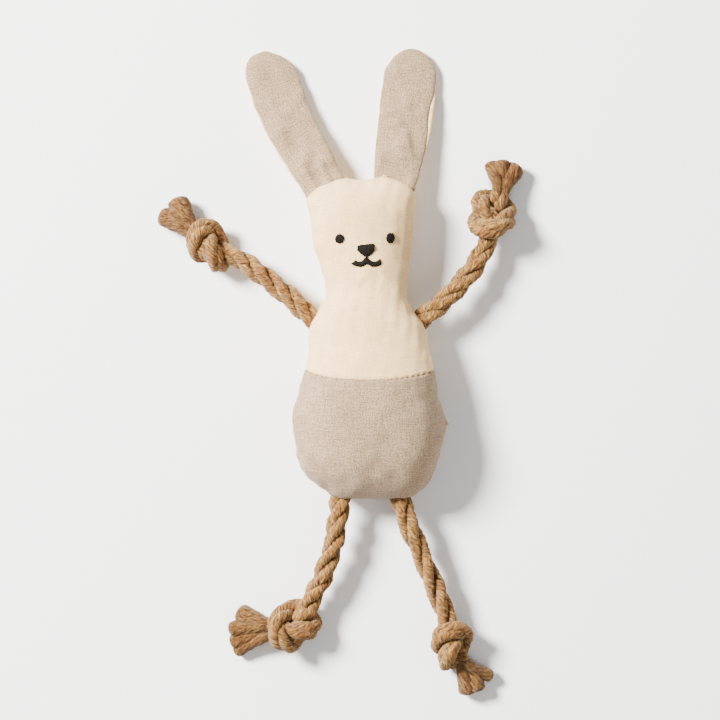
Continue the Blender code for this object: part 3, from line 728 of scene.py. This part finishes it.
def closing_pinch(points):
    """The pinched lip where the turning gap was sewn shut by hand."""
    along_seam = (points[..., 1] - CLOSING_Y) / CLOSING_HALF
    seam_z = curve_through(BODY_DEPTHS, points[..., 1])[..., 0]
    near = np.exp(-np.abs(along_seam) ** 1.3) * bell(points[..., 2] - seam_z, 3.2)
    shift = np.zeros_like(points)
    shift[..., 0] = np.where(points[..., 0] > 20, CLOSING_BULGE * near, 0)
    return shift


folds = stuff_body()
covers = {}
for node, front, upper, slot in (
    ("front_upper_panel", True, True, "cream_linen"),
    ("back_upper_panel", False, True, "cream_linen"),
    ("front_lower_panel", True, False, "grey_linen"),
    ("back_lower_panel", False, False, "grey_linen"),
):
    name = node.replace("panel", "cover")
    made = body_panel(name, front, upper, folds[0 if front else 1], slot)
    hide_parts(node)
    covers[node] = made


# ---- ears ----
def ear_surface(spec, s, angle):
    """Points of an ear at a length s from its root and an angle round it: 0 at its +X edge, pi at its -X."""
    s, angle = np.broadcast_arrays(s, angle)
    line = np.array(spec["line"])
    run = along(line[:, :2])
    length = run[-1]
    bend = np.clip((s - (length - EAR_TIP_ROUND)) / EAR_TIP_ROUND, 0, math.pi / 2)
    at = np.minimum(s, length - EAR_TIP_ROUND) + EAR_TIP_ROUND * np.sin(bend)
    table = np.column_stack([run, line])
    values = curve_through(table, at)
    ahead = curve_through(table, np.minimum(at + 1.0, length))
    behind = curve_through(table, np.maximum(at - 1.0, 0))
    forward = unit(ahead[..., :2] - behind[..., :2])
    half = values[..., 2] * np.cos(bend)
    pinch = np.minimum(0.25 + 0.75 * at / 14.0, 1.0)
    rise = EAR_EDGE + EAR_CROWN * pinch * np.cos(bend) ** 0.8
    across = half * signed_power(np.cos(angle), 0.87)
    z = EAR_TIP_Z + (EAR_ROOT_Z - EAR_TIP_Z) * (1 - at / length) ** 1.5
    z = z + rise * signed_power(np.sin(angle), 0.8)
    onward = spec["skew"] * across / values[..., 2] * step_smooth((at / length - 0.72) / 0.25)
    x = values[..., 0] + forward[..., 1] * across + forward[..., 0] * onward
    y = values[..., 1] - forward[..., 0] * across + forward[..., 1] * onward
    return np.stack([x, y, z], -1)


def ear_panel(name, spec, front, slot):
    """An ear's front or back cloth, with the middle of its hinge and the way up from there."""
    line = np.array(spec["line"])
    length = along(line[:, :2])[-1]
    arc = length - EAR_TIP_ROUND + EAR_TIP_ROUND * math.pi / 2
    rows, cols = 150, 74
    s = arc * (1 - (1 - np.linspace(0, 1, rows)) ** 1.15)[:, None]
    shift = curve_through(spec["cream"], s / arc)[..., 0]
    right, left = (shift, 0 * shift) if spec["cream_side"] > 0 else (0 * shift, shift)
    first, last = (math.pi - left, right) if front else (right, -math.pi - left)
    angle = first + (last - first) * crowded(cols)[None, :]
    points = ear_surface(spec, s, angle)
    u = along_rows(points)
    edge = np.minimum(np.minimum(u, u[:, -1:] - u), arc - s)
    u = u - u[:, -1:] / 2
    seed = spec["seed"] + 50 * front
    wave = 1.15 * lumps(u, s, 24.0, seed) + 0.3 * lumps(u, s, 9.0, seed + 1)
    for u0, s0, u1, s1, wide, high in spec["folds"] if front else ():
        way = ((u - u0) * (u1 - u0) + (s - s0) * (s1 - s0)) / ((u1 - u0) ** 2 + (s1 - s0) ** 2)
        way = np.clip(way, 0, 1)
        away = np.hypot(u - u0 - way * (u1 - u0), s - s0 - way * (s1 - s0))
        wave = wave + high * bell(away, wide)
    inner = 1 - np.exp(-edge / RIM_REACH)
    wave = wave * inner
    edging = 0.34 * lumps(s, 0, 9.0, spec["seed"] + 2) * np.exp(-edge / 3.0)
    # pleats that fan out of the seam on the head
    pleats = spec["pleats"] * lumps(u, 0.4 * s, 10.0, seed + 3) * np.exp(-s / PLEAT_REACH) * inner
    sink = 0.42 * bell(edge, 0.8)
    # the wadding keeps the cloth from sinking, so folds stand out of it
    folds = np.log1p(np.exp(WADDING_STIFF * (wave + pleats))) / WADDING_STIFF - 0.2
    points += surface_normals(points) * (folds + edging - sink)[..., None]
    points[..., 2] = np.maximum(points[..., 2], FLOOR_GAP)
    made = cloth_shell(name, points, np.stack([u, s + 0 * u + 7.3], -1), slot, EAR_CLOTH)
    a, b = (np.array(p) for p in spec["hinge"])
    middle = np.append((a + b) / 2, EAR_ROOT_Z)
    forward = unit(np.array([a[1] - b[1], b[0] - a[0], 0.0]))
    return made, middle, forward


for ear, spec in EARS.items():
    for side, slot in (("front", "grey_linen"), ("back", "cream_linen")):
        made, middle, forward = ear_panel(f"{ear}_{side}_cloth", spec, side == "front", slot)
        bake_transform(made)
        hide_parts(f"{ear}_{side}_panel")


# ---- tubes of fibre ----
def side_frames(line):
    """Two unit vectors across a line at each of its points, carried along it without twist."""
    tangent = unit(np.gradient(line, axis=0))
    normal = np.zeros_like(line)
    start = np.array([0.0, 0.0, 1.0]) if abs(tangent[0, 2]) < 0.9 else np.array([1.0, 0.0, 0.0])
    for i, direction in enumerate(tangent):
        start = start - direction * (start @ direction)
        start = start / np.linalg.norm(start)
        normal[i] = start
    return tangent, normal, np.cross(tangent, normal)


def tube(line, radius, sides, ridges=0, depth=0.0, twist=0.0, seed=0, wander=0.5, matted=1.0, shade=1.0):
    """Vertices, faces, corner uvs and painted shade values of a tube.

    Its ridges turn once in a length of twist, left-handed. Where matted is less than 1, the lumps of its
    fibre are lower, and longer along the tube.
    """
    radius = np.broadcast_to(radius, (len(line),))
    radius = np.concatenate([[0.02], radius, [0.02]])
    ends = line[0] + 0.04 * (line[0] - line[1]), line[-1] + 0.04 * (line[-1] - line[-2])
    line = np.concatenate([ends[:1], line, ends[1:]])
    rings = len(line)
    _, normal, across = side_frames(line)
    s = along(line)
    psi = np.arange(sides) / sides * 2 * math.pi
    turn = (2 * math.pi * s / twist + wander * lumps(s, 0, 9.0, seed + 90) if twist else 0 * s)[:, None]
    radius = radius[:, None] * np.ones((1, sides))
    if ridges:
        ridge = np.abs(np.cos(ridges * (psi[None, :] + turn) / 2))
        radius = radius * (1 + depth * (ridge - 0.64))
    if depth:
        for height, around, size, more in ((0.065, 2.2, 4.5, 0), (0.055, 4.0, 2.2, 60)):
            uneven = lumps(psi[None, :] * around, s[:, None] * matted, size, seed + more)
            radius = radius * (1 + height * matted * uneven)
    offset = radius[..., None] * (
        np.cos(psi)[None, :, None] * normal[:, None] + np.sin(psi)[None, :, None] * across[:, None]
    )
    vertices = (line[:, None] + offset).reshape(-1, 3)
    faces = grid_faces(rings, sides, wrap=True, flip=True)
    ring, column = faces // sides, faces % sides
    column[(column == 0) & (column.max(axis=1, keepdims=True) == sides - 1)] = sides
    u = RIDGE_WIDTH * max(ridges, 2) * (column / sides * 2 * math.pi + turn[ring, 0])
    corner = np.stack([u, s[ring]], -1).reshape(-1, 2)
    return vertices, faces, corner, np.full(len(vertices), shade)


def add_tubes(name, parts, slot):
    """One mesh of several tubes, with the painted shade value of each vertex as a point attribute: the
    lower, the darker.
    """
    start = np.cumsum([0] + [len(part[0]) for part in parts])
    faces = np.concatenate([part[1] + first for part, first in zip(parts, start)])
    vertices, corners, shades = (np.concatenate([part[k] for part in parts]) for k in (0, 2, 3))
    made = add_mesh(name, vertices, faces, material=MATERIALS[slot])
    layer = made.data.uv_layers.new(name="cloth")
    layer.data.foreach_set("uv", corners.astype(np.float32).ravel())
    painted_light = made.data.attributes.new("painted_light", "FLOAT", "POINT")
    painted_light.data.foreach_set("value", shades.astype(np.float32))
    return made


def stray_fibres(lines, radius, count, reach, seed):
    """Thin fibres that lift off the strands and curl."""
    rng = np.random.default_rng(seed)
    parts = []
    for _ in range(count):
        line = lines[rng.integers(len(lines))]
        tangent, normal, across = side_frames(line)
        i = rng.integers(2, len(line) - 2)
        psi = rng.uniform(0, 2 * math.pi)
        out = math.cos(psi) * normal[i] + math.sin(psi) * across[i]
        go = tangent[i] * rng.choice((-1, 1)) * rng.uniform(0.6, 1.0)
        go = go + np.cross(tangent[i], out) * rng.uniform(-0.4, 0.4)
        size = rng.uniform(2.5, 6.0)
        t = np.linspace(0, 1, 7)[:, None]
        lift = rng.uniform(0.4, 1.0) * reach
        curl = unit(rng.normal(size=3)) * rng.uniform(0.3, 1.1)
        points = line[i] + out * (radius - 0.25 + lift * np.sin(t * math.pi * rng.uniform(0.45, 0.95)))
        points = points + go * size * t + curl * t**2
        points[:, 2] = np.maximum(points[:, 2], 0.2)
        parts.append(tube(points, FIBRE_R * (1 - 0.7 * t[:, 0]), 3))
    return parts


# ---- the overhand knots ----
def knot_line(spec):
    """The rope's line through its overhand knot, drawn tight until the rope presses on itself."""
    route, d = np.array(spec["route"]), spec["knot_d"]
    size = d / OPEN_KNOT_D
    centre = route[-1]
    entry = unit(route[-1] - route[-2])
    leave = unit(np.array(spec["tip"]) - centre)
    t = np.linspace(-1.95, 1.95, 60)
    loop = np.column_stack(
        [(t**3 - 3 * t) * 3.6, (t**4 - 4 * t**2 + 2.0) * 2.7, (t**5 - 10 * t) * 0.75 * spec["hand"]]
    )
    axis = unit(entry + leave)
    side = unit(np.cross((0, 0, 1), axis))
    top = np.cross(axis, side)
    turn = math.radians(spec["turn"])
    side, top = side * math.cos(turn) + top * math.sin(turn), top * math.cos(turn) - side * math.sin(turn)
    loop = centre + size * loop @ np.array([axis, side, top])
    start, end = centre - entry * KNOT_LEAD * size, centre + leave * KNOT_LEAVE * size
    before = start + (loop[0] - start) * np.linspace(0, 1, 6)[:-1, None]
    after = loop[-1] + (end - loop[-1]) * np.linspace(0, 1, 6)[1:, None]
    line = np.concatenate([before, loop, after])
    run = along(line)
    count = 72
    line = np.column_stack([np.interp(np.linspace(0, run[-1], count), run, line[:, k]) for k in range(3)])
    rest, target = run[-1] / (count - 1), spec["tightness"] * d / (count - 1)
    near = np.abs(np.subtract.outer(np.arange(count), np.arange(count)))
    for step in range(900):
        share = min(1.0, step / 600)
        length = rest + (target - rest) * share
        apart = line[:, None] - line[None, :]
        gap = np.linalg.norm(apart, axis=-1) + 1e-6
        touching = (gap < d) & (near * length > 1.5 * d)
        push = np.where(touching, (d - gap) / gap, 0.0)[..., None] * apart
        line = line + 0.25 * push.sum(axis=1)
        line[2:-2] += 0.12 * (line[1:-3] + line[3:-1] - 2 * line[2:-2])
        for _ in range(4):
            for first in (0, 1):
                a, b = np.arange(first, count - 1, 2), np.arange(first + 1, count, 2)
                between = line[b] - line[a]
                reach = np.linalg.norm(between, axis=1, keepdims=True)
                fix = 0.5 * (reach - length) / reach * between
                line[a] += fix
                line[b] -= fix
        line[:, 2] = np.maximum(line[:, 2], 0.52 * d)
        line[0], line[1] = start, start + entry * length
        line[-1], line[-2] = end, end - leave * length
    return line


def limb_line(spec):
    """The rope's line from inside the seam to past its knot, and the length at which the knot starts."""
    route, shift = np.array(spec["route"], float), spec.get("shift", (0, 0, 0))
    route[-1] += shift
    knot = knot_line(spec) + shift
    back = unit(route[0] - route[1])
    lead = smooth_path(np.concatenate([[route[0] + back * 5.0], route]), SPACING)
    reach = KNOT_LEAD * spec["knot_d"] / OPEN_KNOT_D + 1.5
    lead = lead[np.linalg.norm(lead - route[-1], axis=1) > reach]
    whole = np.concatenate([lead, knot])
    table = np.column_stack([along(whole), whole])
    return curve_through(table, np.arange(0, table[-1, 0], SPACING)), along(lead)[-1]


def rope_strands(line, spec, before):
    """The three strands' own lines along a rope, and how much the knot squeezes them."""
    _, normal, across = side_frames(line)
    s = along(line)
    squeeze = 1 - (1 - spec["knot_d"] / FREE_ROPE_D) * step_smooth((s - before) / 8.0)
    lay = spec.get("lay", LAY)
    strands = []
    for k in range(3):
        drift = 0.25 * lumps(s, 0, 30.0, spec["seed"] + k)
        phase = (2 * math.pi * (s / lay + k / 3) + spec["seed"] + drift)[:, None]
        away = STRAND_OFFSET * squeeze * (1 + 0.09 * lumps(s, 0, 16.0, spec["seed"] + 7 + k))
        strands.append(line + away[:, None] * (np.cos(phase) * normal + np.sin(phase) * across))
    return strands, squeeze


def sewn_flat(vertices, pivot, forward):
    """A rope's vertices, with its sewn end pressed flat where the seam holds it."""
    away = (vertices - pivot) @ forward
    flat = 1 - SEWN_FLAT * (1 - step_smooth((away - 0.5) / SEWN_LENGTH))
    vertices = vertices.copy()
    vertices[:, 2] = pivot[2] + (vertices[:, 2] - pivot[2]) * flat
    return vertices


def swept_strands(line, strands, squeeze, first, last, seed, most=1.0):
    """The strands' tubes from one ring to another, with how far out of the rope each vertex lies, which
    paints shade deep between the strands; most caps that value, so the painted shade darkens a whole tube.
    """
    parts = []
    cut = slice(first, last)
    knotted = step_smooth((1 - squeeze) / (1 - squeeze.min()))
    middle = np.pad(line[cut], ((1, 1), (0, 0)), mode="edge").repeat(STRAND_SIDES, axis=0)
    narrowing = np.pad(squeeze[cut], 1, mode="edge").repeat(STRAND_SIDES)
    for k, strand in enumerate(strands):
        uneven = 1 + 0.05 * lumps(along(strand), 0, 12.0, seed + k)
        radius = STRAND_R * squeeze * (1 + KNOT_SWELL * knotted) * uneven
        vertices, faces, corners, _ = tube(
            strand[cut], radius[cut], STRAND_SIDES, ridges=4, depth=0.11, twist=PLY_LAY, seed=seed + k
        )
        away = np.linalg.norm(vertices - middle, axis=1) / narrowing
        # the rope presses flat where it rests on the floor
        vertices[:, 2] = FLOOR_GAP + np.logaddexp(0, 3 * (vertices[:, 2] - FLOOR_GAP)) / 3
        parts.append((vertices, faces, corners, most * np.clip((away - 2.6) / 2.8, 0, 1)))
    return parts


def tail_parts(strands, first, spec):
    """The strands past the knot, unlaid into lobes with rounded, frayed ends."""
    ends = np.array([lobe[:3] for lobe in spec["lobes"]])
    sizes = [lobe[3] for lobe in spec["lobes"]]
    leave = unit(np.array(spec["tip"]) - np.array(spec["route"][-1]))
    side = unit(np.cross((0, 0, 1), leave))
    starts = np.array([strand[first] for strand in strands])
    order = np.argsort(starts @ side)
    parts, lines = [], []
    for rank, number in enumerate(np.argsort(ends @ side)):
        source = order[min(int(rank * 3 / len(ends)), 2)]
        begin, end, size = starts[source], ends[number], sizes[number]
        reach = np.linalg.norm(end - begin)
        t = np.linspace(0, 1, 46)[:, None]
        fan = unit(end - begin + 0.25 * reach * side * np.sign((end - begin) @ side))
        line = cubic(t, reach, begin, leave, end, fan)
        line = np.concatenate([line[:-1], end + fan * size * 0.85 * np.linspace(0, 1, 12)[:, None]])
        s = along(line)
        cap = np.clip((s - s[44]) / (s[-1] - s[44]), 0, 1)
        grow = step_smooth(s / s[44])
        radius = (STRAND_R * 0.9 * (1 - grow) + size * grow) * np.sqrt(np.maximum(1 - cap**4, 0.004))
        parts.append(tube(line, radius, 36, seed=spec["seed"] + rank, **TAIL_FIBRE))
        lines.append(line[:-8])
    return parts, lines


for limb, spec in LIMBS.items():
    line, before = limb_line(spec)
    pivot = np.array(spec["route"][0])
    forward = unit(np.array(spec["route"][1]) - pivot)
    strands, squeeze = rope_strands(line, spec, before)
    s = along(line)
    start = int(np.argmin(np.linalg.norm(line - pivot, axis=1)))
    seam = int(np.searchsorted(s, max(before + INTO_KNOT, s[start] + LEAST_CORD)))
    last = len(line) - int(TAIL_START / SPACING)
    seed = 10 * spec["seed"]

    rope_parts = swept_strands(line, strands, squeeze, 0, seam + 1, seed)
    rope_parts = [(sewn_flat(part[0], pivot, forward), *part[1:]) for part in rope_parts]
    free = [strand[start + 10 : seam - 8] for strand in strands]
    rope_parts += stray_fibres(free, STRAND_R, count=190, reach=0.9, seed=seed + 4)
    rope = add_tubes(f"{limb}_rope_strands", rope_parts, "jute_rope")

    # the knot's strands have their shade value capped, so the painted shade darkens the whole knot a little
    knot_parts = swept_strands(line, strands, squeeze, seam - 1, last, seed, most=0.62)
    # the fibre packed inside the knot, which closes its gaps; its low shade value paints it dark, as painted
    # shade deep inside the knot
    core = np.linspace(-1, 1, 11)[:, None]
    middle = line[seam:last].mean(axis=0) + 4.2 * core * unit(line[last] - line[seam])
    radius = 4.4 * np.sqrt(1.02 - core[:, 0] ** 2)
    knot_parts.append(tube(middle, radius, 20, ridges=7, depth=0.1, twist=40.0, seed=seed, shade=0.1))
    tied = [strand[seam:last] for strand in strands]
    knot_parts += stray_fibres(tied, STRAND_R * 0.95, count=130, reach=0.9, seed=seed + 5)
    knot = add_tubes(f"{limb}_knot_strands", knot_parts, "jute_rope")

    parts, lines = tail_parts(strands, last - 2, spec)
    parts += stray_fibres(lines, 3.6, count=190, reach=1.5, seed=seed + 6)
    tail = add_tubes(f"{limb}_tail_strands", parts, "jute_rope")

    for made, node in ((knot, "knot"), (tail, "frayed_end")):
        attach(made, limb)
        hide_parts(f"{limb}_{node}")
    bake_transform(rope)
    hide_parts(f"{limb}_rope", f"{limb}_sewn_end")


# ---- embroidery ----
# middle, half width and half height
EYES = {"right_eye": ((-15.6, 101.8), 2.3, 2.6), "left_eye": ((12.2, 102.3), 2.2, 2.9)}
# x, lower y and upper y of the nose's edge
NOSE = (
    (-6.0, 95.9, 97.3),
    (-4.9, 94.7, 98.1),
    (-3.3, 93.1, 98.5),
    (-1.0, 92.0, 98.8),
    (1.0, 92.6, 99.0),
    (2.5, 94.1, 98.9),
    (3.3, 95.4, 98.2),
)
STEM = ((-0.95, 93.6), (-0.95, 90.6))
MOUTH = (
    ((-7.8, 89.0), (-6.6, 88.3), (-4.9, 87.9), (-3.1, 88.2), (-1.9, 89.0), (-0.95, 90.4)),
    ((-0.95, 90.4), (0.05, 89.2), (1.6, 88.4), (3.5, 87.9), (5.3, 88.4), (6.7, 89.4)),
)
STROKE = 1.5  # half width of the mouth's line of stitches
FLOSS_R, CLOSING_R = 0.34, 0.22

bpy.context.view_layer.update()
front_cloth = BVHTree.FromObject(covers["front_upper_panel"], bpy.context.evaluated_depsgraph_get())


def on_face(x, y):
    """Height of the front cover."""
    hit = front_cloth.ray_cast(Vector((x, y, 80.0)) * MM, Vector((0, 0, -1)))[0]
    return hit.z / MM


def stitch(a, b, lift, rng):
    """One straight stitch of floss from a to b that rises over the padding and dives at both ends."""
    a = np.array(a) + rng.normal(0, 0.10, 2)
    b = np.array(b) + rng.normal(0, 0.10, 2)
    t = np.linspace(0, 1, 11)
    flat = a + (b - a) * t[:, None]
    z = np.array([on_face(*p) for p in flat])
    z += lift * np.sin(math.pi * t) ** 0.6 + 0.12 - 0.75 * (np.abs(2 * t - 1) ** 8)
    radius = FLOSS_R * rng.uniform(0.88, 1.1)
    return tube(np.column_stack([flat, z]), radius, 8, ridges=3, depth=0.12, twist=2.6, seed=1)


def finish_stitches(node, parts, ending="stitches", slot="black_thread"):
    """Join the stitches that stand for one node."""
    made = add_tubes(f"{node}_{ending}", parts, slot)
    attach(made, "torso")
    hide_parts(node)


rng = np.random.default_rng(21)
for name, ((x, y), wide, tall) in EYES.items():
    parts = []
    for layer in range(2):
        for k in np.linspace(-1, 1, 10 - layer):
            share = (1 - abs(k) ** 2.2) ** 0.6 * rng.uniform(0.9, 1.04) + 0.06
            if layer:
                reach, level = wide * share, y + k * tall * 0.85
                parts.append(stitch((x - reach, level), (x + reach, level), 0.6, rng))
            else:
                reach = tall * share
                parts.append(stitch((x + k * wide, y - reach), (x + k * wide + 0.15, y + reach), 0.8, rng))
    finish_stitches(name, parts)

nose = []
for x in np.arange(-5.7, 3.3, 0.52):
    low, high = curve_through(NOSE, np.array(x))
    nose.append(stitch((x, low - rng.uniform(0, 0.3)), (x + 0.1, high + rng.uniform(0, 0.25)), 0.95, rng))
finish_stitches("nose", nose)

mouth = [stitch(STEM[0], (STEM[1][0] + dx, STEM[1][1]), 0.55, rng) for dx in (-0.45, 0.0, 0.45)]
mouth += [stitch((STEM[0][0] + dx, STEM[0][1]), STEM[1], 0.5, rng) for dx in (-0.5, 0.5)]
for curve in MOUTH:
    line = smooth_path(curve, 0.48)
    tangent = unit(np.gradient(line, axis=0))
    for point, direction in zip(line, tangent):
        lean = unit(np.array([-direction[1], direction[0]]) + 0.35 * direction)
        mouth.append(stitch(point - lean * STROKE, point + lean * STROKE, 0.45, rng))
finish_stitches("mouth", mouth)

# ---- hand stitches that close the turning gap ----
closing = []
for k in range(5):
    y = CLOSING_Y - 4.4 + 2.2 * k
    edge = curve_through(BODY_EDGES, np.array([y]))[0, 1]
    seam_z = curve_through(BODY_DEPTHS, np.array([y]))[0, 0]
    t = np.linspace(-1, 1, 9)
    bulge = CLOSING_BULGE * math.exp(-(abs((y - CLOSING_Y) / CLOSING_HALF) ** 1.3))
    x = edge + bulge * bell(t * 1.4, 3.2) - 0.75 - 0.8 * t**4
    thread = np.column_stack([x, y + 0.6 * t, seam_z + 1.4 * t])
    closing.append(tube(thread, CLOSING_R, 6, ridges=3, depth=0.1, twist=2.4, seed=k))
finish_stitches("closing_stitches", closing, "thread", "grey_linen")

# ---- camera, floor and light ----
VIEW_CENTRE, VIEW_WIDTH = (-4.4, 35.75), 396.0
CAMERA_HEIGHT, SUBJECT_HEIGHT = 1900.0, 18.0
FLOOR_HALF = 6000.0


def place_light(name, at, size, power, colour=(1, 1, 1)):
    """A round light at a place in metres, turned to the toy."""
    data = bpy.data.lights.new(name, "AREA")
    data.shape = "DISK"
    data.size = size
    data.energy = power
    data.color = colour
    made = place(name, data)
    made.location = at
    aim = Vector((0, 0.04, 0.02)) - Vector(at)
    made.rotation_euler = aim.to_track_quat("-Z", "Y").to_euler()


lens = bpy.data.cameras.new("camera")
lens.sensor_fit = "HORIZONTAL"
lens.angle = 2 * math.atan(VIEW_WIDTH / 2 / (CAMERA_HEIGHT - SUBJECT_HEIGHT))
lens.clip_end = 20.0
camera = place("camera", lens)
camera.location = Vector((*VIEW_CENTRE, CAMERA_HEIGHT)) * MM
bpy.context.scene.camera = camera

paint = Nodes("floor_paint", 0.8, Specular_IOR_Level=0.1, Base_Color=(0.93, 0.93, 0.93, 1))
corners = [(x * FLOOR_HALF, y * FLOOR_HALF, 0) for x, y in ((-1, -1), (1, -1), (1, 1), (-1, 1))]
floor = add_mesh("floor", corners, [(0, 1, 2, 3)], material=paint.material)
floor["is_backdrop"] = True

world = bpy.data.worlds.new("studio")
world.use_nodes = True
background = world.node_tree.nodes["Background"]
background.inputs["Color"].default_value = (1.0, 0.99, 0.975, 1)
background.inputs["Strength"].default_value = 0.62
bpy.context.scene.world = world
place_light("key", at=(-1.5, 0.9, 1.5), size=0.7, power=340.0, colour=(1.0, 0.985, 0.96))
place_light("fill", at=(1.2, -1.0, 1.9), size=1.6, power=12.0)

slots = {part["node"]: part["material_slot"] for part in frame["record"]["subparts"]}
for name, node in frame["nodes"].items():
    for held in node.material_slots:
        held.material = MATERIALS[slots[name]]

low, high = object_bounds()
